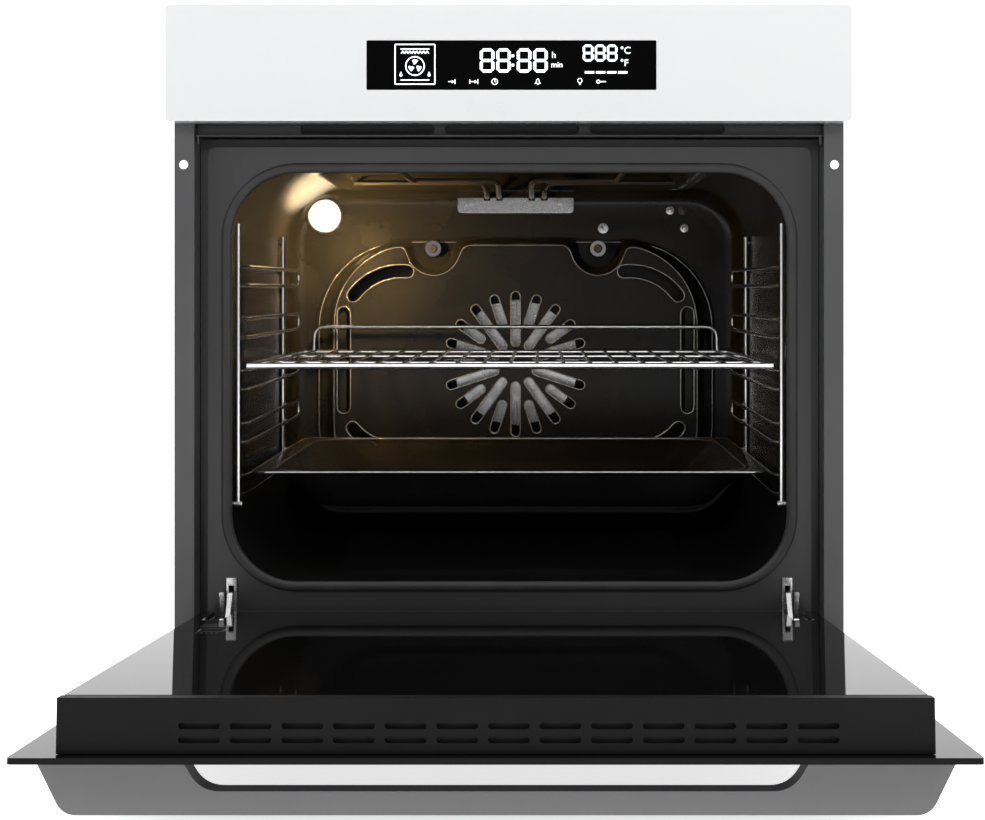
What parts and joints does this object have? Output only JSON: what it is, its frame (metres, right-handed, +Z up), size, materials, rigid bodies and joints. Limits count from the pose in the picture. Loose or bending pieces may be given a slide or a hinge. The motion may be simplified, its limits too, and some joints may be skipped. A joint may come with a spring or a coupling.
{
  "type": "built-in wall oven",
  "caption": "Built-in electric oven with drop-down glass door, bridge handle, wire shelf, baking tray, fan cover with starburst slots and a white control fascia",
  "frame": {"origin": "centre of the carcass underside, on the niche shelf", "axes": "X to the right seen from the front, Y into the niche, Z up"},
  "size_m": [0.595, 1.0136, 0.595],
  "materials": {
    "galvanised_steel": "galvanised sheet",
    "grey_paint": "satin grey paint",
    "dark_paint": "satin dark grey paint",
    "black_enamel": "glossy black vitreous enamel",
    "gasket_rubber": "matte black silicone",
    "white_glass": "gloss white lacquered glass",
    "black_glass": "opaque gloss black glass",
    "tinted_glass": "dark mirror-like door glass",
    "clear_glass": "clear glass",
    "lamp_lens": "clear heat-proof lamp glass, lit warm white",
    "black_plastic": "matte black plastic",
    "circuit_board": "lacquered circuit board",
    "bright_steel": "bright zinc-plated steel",
    "chromed_wire": "chromed steel wire",
    "heater_sheath": "heat-tinted heater sheath",
    "mineral_wool": "glass wool blanket",
    "satin_grey": "satin grey anodised aluminium",
    "white_ceramic": "unglazed ceramic"
  },
  "bodies": {
    "chassis": {"base_plate": "galvanised_steel", "side_panel_left": "galvanised_steel", "side_panel_right": "galvanised_steel", "top_cover": "galvanised_steel", "rear_cover": "galvanised_steel", "front_column_left": "grey_paint", "front_column_right": "grey_paint", "lower_trim": "dark_paint", "face_frame": "dark_paint", "cavity_gasket": "gasket_rubber", "vent_plate": "dark_paint", "cavity_liner": "black_enamel", "insulation_blanket": "mineral_wool", "fan_cover": "black_enamel", "cover_screw_left": "bright_steel", "cover_screw_right": "bright_steel", "grill_plate": "bright_steel", "grill_element_inner": "heater_sheath", "grill_element_outer": "heater_sheath", "ring_element": "heater_sheath", "bottom_element": "heater_sheath", "lamp_socket": "white_ceramic", "lamp_bulb": "clear_glass", "lamp_glass": "lamp_lens", "temperature_probe": "bright_steel", "side_rack_left": "chromed_wire", "side_rack_right": "chromed_wire", "fan_motor": "galvanised_steel", "air_duct": "galvanised_steel", "blower_housing": "galvanised_steel", "cooling_motor": "galvanised_steel", "mains_inlet": "black_plastic", "control_fascia": "white_glass", "display_window": "black_glass", "control_carrier": "black_plastic", "control_module": "circuit_board", "hinge_receiver_left": "bright_steel", "hinge_receiver_right": "bright_steel", "hinge_arm_left": "bright_steel", "hinge_arm_right": "bright_steel"},
    "door": {"door_outer_glass": "tinted_glass", "door_middle_glass": "clear_glass", "door_inner_glass": "tinted_glass", "door_top_rail": "black_plastic", "door_side_rail_left": "dark_paint", "door_side_rail_right": "dark_paint", "door_bottom_rail": "dark_paint", "hinge_body_left": "bright_steel", "hinge_body_right": "bright_steel", "hinge_pin_left": "bright_steel", "hinge_pin_right": "bright_steel", "door_handle": "satin_grey", "handle_bolt_left": "bright_steel", "handle_bolt_right": "bright_steel"},
    "wire_shelf": {"wire_shelf": "chromed_wire"},
    "baking_tray": {"baking_tray": "black_enamel"},
    "convection_fan": {"convection_fan": "bright_steel"},
    "cooling_impeller": {"cooling_impeller": "black_plastic"},
    "latch_left": {"hinge_latch_left": "bright_steel"},
    "latch_right": {"hinge_latch_right": "bright_steel"}
  },
  "joints": [
    {"name": "door_hinge", "type": "hinge", "parent": "chassis", "child": "door", "pos_m": [0, -0.286, 0.038], "axis": [-1, 0, 0], "range_deg": [0, 86]},
    {"name": "shelf_slide", "type": "slide", "parent": "chassis", "child": "wire_shelf", "axis": [0, 1, 0], "range_m": [-0.3, 0]},
    {"name": "tray_slide", "type": "slide", "parent": "chassis", "child": "baking_tray", "axis": [0, 1, 0], "range_m": [-0.3, 0]},
    {"name": "convection_fan_spin", "type": "hinge", "parent": "chassis", "child": "convection_fan", "pos_m": [0, 0.17, 0.265], "axis": [0, 1, 0], "continuous": true},
    {"name": "cooling_fan_spin", "type": "hinge", "parent": "chassis", "child": "cooling_impeller", "pos_m": [0, 0.115, 0.5], "axis": [0, 0, 1], "continuous": true},
    {"name": "latch_left_flip", "type": "hinge", "parent": "chassis", "child": "latch_left", "pos_m": [-0.2543, -0.2575, 0.054], "axis": [-1, 0, 0], "range_deg": [-80, 0]},
    {"name": "latch_right_flip", "type": "hinge", "parent": "chassis", "child": "latch_right", "pos_m": [0.2543, -0.2575, 0.054], "axis": [-1, 0, 0], "range_deg": [-80, 0]}
  ]
}
